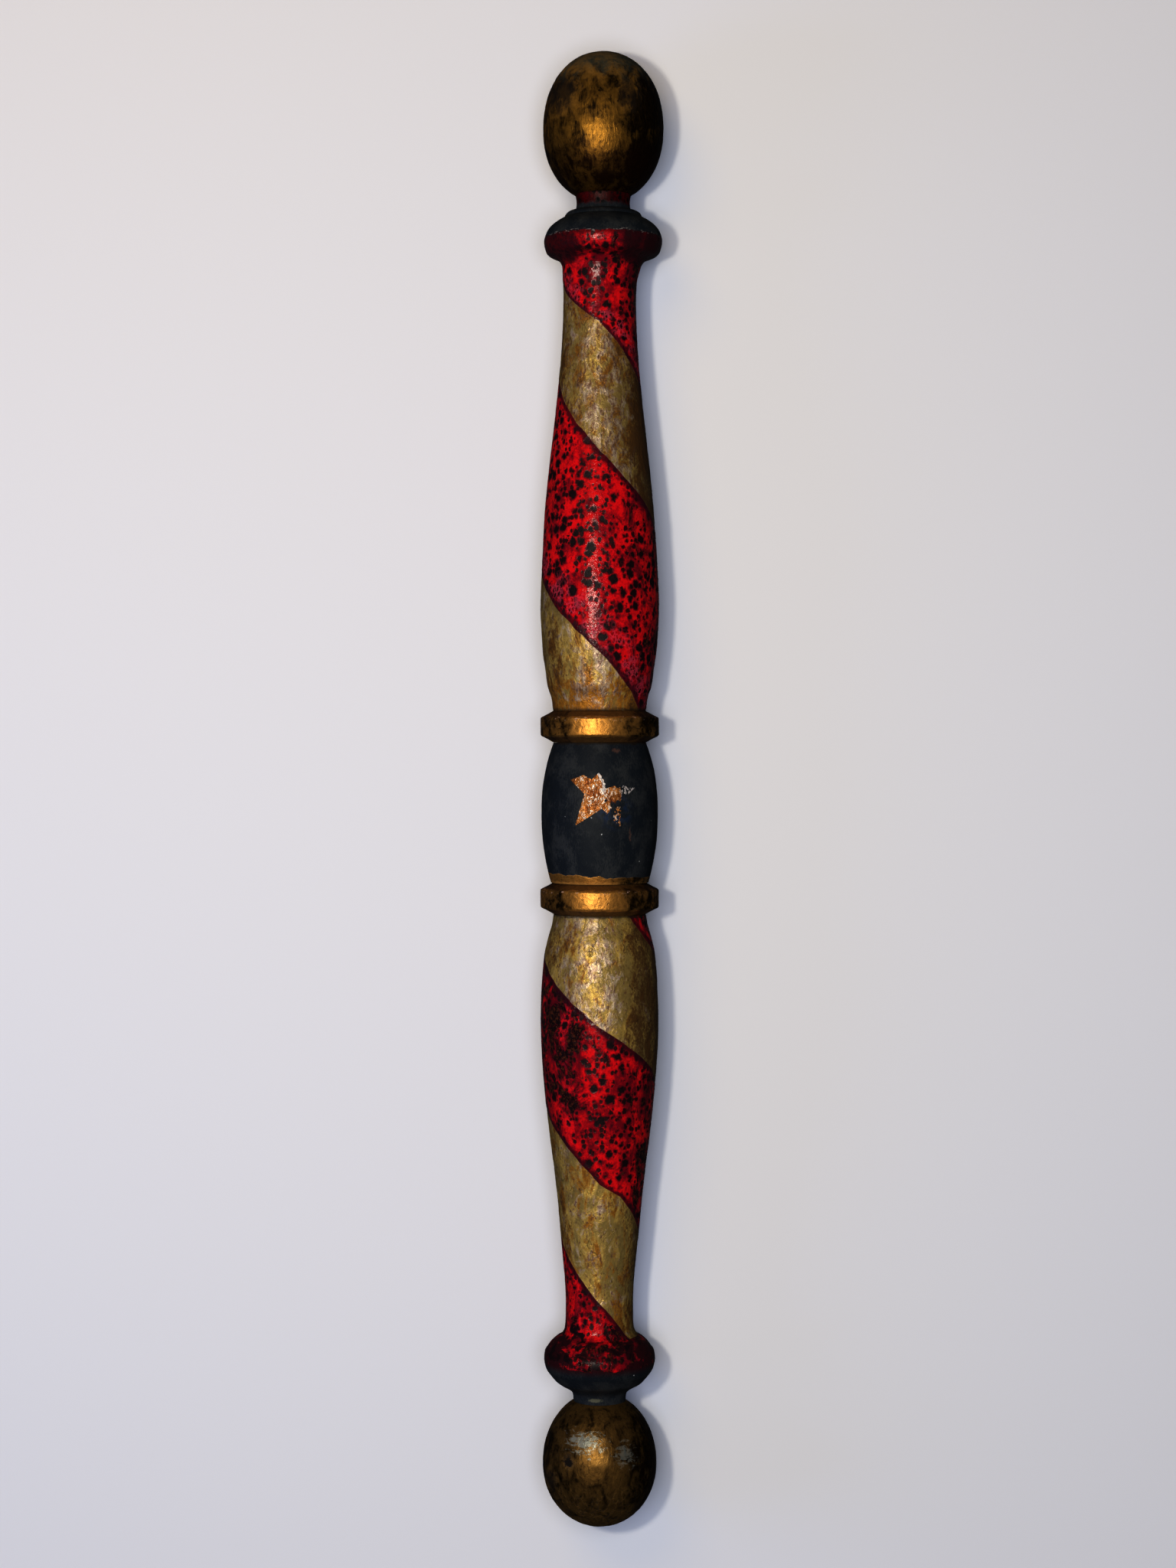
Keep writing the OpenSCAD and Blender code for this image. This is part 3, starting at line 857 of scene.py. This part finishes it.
def star():
    """A shell of crinkled leaf, laid on the barrel wherever the star has not worn off."""
    stations = outline("barrel")[0]
    centre_x = sum(corner.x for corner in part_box("star")) / 2 - STAR_DOWN * MM
    n = int(STAR_REACH / CELL) + 1
    kept = set()
    for i in range(-n, n):
        for j in range(-n, n):
            u, v = (i + 0.5) * CELL, (j + 0.5) * CELL
            if in_star(u, v) and leaf_left(u, v):
                kept.add((i, j))
    verts, faces, index = [], [], {}

    def corner(i, j, level):
        if (i, j, level) not in index:
            u, v = i * CELL, j * CELL
            x = centre_x + v * MM
            crinkle = LEAF_CRINKLE * noise.noise((u * 0.9, v * 0.7, 0.0))
            lift = LEAF_UP + crinkle if level else LEAF_ROOT
            r = float(np.interp(x, stations[:, 0], stations[:, 1])) + lift * MM
            y = -u * MM
            index[i, j, level] = len(verts)
            verts.append((x, y, AXIS_Z + math.sqrt(r * r - y * y)))
        return index[i, j, level]

    for i, j in kept:
        around = ((i, j), (i, j + 1), (i + 1, j + 1), (i + 1, j))
        faces.append([corner(*at, 1) for at in around])
        faces.append([corner(*at, 0) for at in reversed(around)])
        neighbours = ((i - 1, j), (i, j + 1), (i + 1, j), (i, j - 1))
        for a, b, beside in zip(around, around[1:] + around[:1], neighbours):
            if beside not in kept:
                faces.append([corner(*b, 1), corner(*a, 1), corner(*a, 0), corner(*b, 0)])
    mesh = bpy.data.meshes.new("star_leaf")
    mesh.from_pydata(verts, [], faces)
    piece = new_piece("star_leaf", mesh)
    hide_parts("star")
    finish_piece(piece, leaf)


star()


# ---------------------------------------------------------------- stage, light and camera

CAMERA_HEIGHT = 1.227  # above the club's axis, in metres
FOOT_S = 330.8         # place of the camera along the club, in mm
FOOT_SIDE = 4.8 * MM
VIEW_SHIFT = -0.0371
HALF_FRAME = 1024      # half the height of the 1536 x 2048 image, in pixels
FOCAL = 3870           # focal length in the same pixels
FIELD = 2 * math.atan(HALF_FRAME / FOCAL)
FLOOR_HALF = 3.0
FLOOR_PALE = (0.74, 0.73, 0.73, 1)
SKY = (0.85, 0.9, 1, 1)
SKY_STRENGTH = 0.03
CONTRAST = 0.8


def floor():
    """A plain pale floor. It takes the club's shadow, but throws no light back on the club."""
    mesh = bpy.data.meshes.new("floor")
    corners = [(x * FLOOR_HALF, y * FLOOR_HALF, 0) for x, y in ((-1, -1), (1, -1), (1, 1), (-1, 1))]
    mesh.from_pydata(corners, [], [(0, 1, 2, 3)])
    mat = bpy.data.materials.new("floor")
    mat.use_nodes = True
    shader = mat.node_tree.nodes["Principled BSDF"]
    shader.inputs["Base Color"].default_value = FLOOR_PALE
    shader.inputs["Roughness"].default_value = 0.9
    mesh.materials.append(mat)
    piece = new_piece("floor", mesh)
    piece.visible_glossy = False
    piece.visible_diffuse = False


def soft_light(name, place, size, power, colour, glossy=False):
    """A round soft light that shines on the club's middle. Only a glossy one is seen in the varnish."""
    data = bpy.data.lights.new(name, "AREA")
    data.shape = "DISK"
    data.size = size
    data.energy = power
    data.color = colour
    light = bpy.data.objects.new(name, data)
    light.location = place
    light.rotation_euler = Vector(place).to_track_quat("Z", "Y").to_euler()
    light.visible_glossy = glossy
    bpy.context.scene.collection.objects.link(light)


def camera():
    """A camera that looks straight down, with the view shifted towards the round ball."""
    data = bpy.data.cameras.new("camera")
    data.sensor_fit = "VERTICAL"
    data.angle_y = FIELD
    data.shift_y = VIEW_SHIFT
    data.clip_start = 0.01
    piece = bpy.data.objects.new("camera", data)
    piece.location = (TIP_X + FOOT_S * MM, FOOT_SIDE, AXIS_Z + CAMERA_HEIGHT)
    piece.rotation_euler = (0, 0, -math.pi / 2)
    bpy.context.scene.collection.objects.link(piece)
    bpy.context.scene.camera = piece


floor()
camera()
soft_light("key", (0.08, 0.27, 1.12), 0.08, 4.6, (1, 0.95, 0.82), glossy=True)
soft_light("over", (0.0, 0.03, 1.6), 1.0, 18.6, (0.78, 0.835, 1))
soft_light("warm", (0.8, 0.5, 1.1), 0.8, 4.0, (1, 0.66, 0.12))
soft_light("window", (-0.2, 1.3, 0.40), 0.7, 5.2, (0.25, 0.42, 1))
world = bpy.data.worlds.new("world")
world.use_nodes = True
world.node_tree.nodes["Background"].inputs[0].default_value = SKY
world.node_tree.nodes["Background"].inputs[1].default_value = SKY_STRENGTH
bpy.context.scene.world = world
bpy.context.scene.view_settings.view_transform = "Standard"
bpy.context.scene.view_settings.gamma = CONTRAST
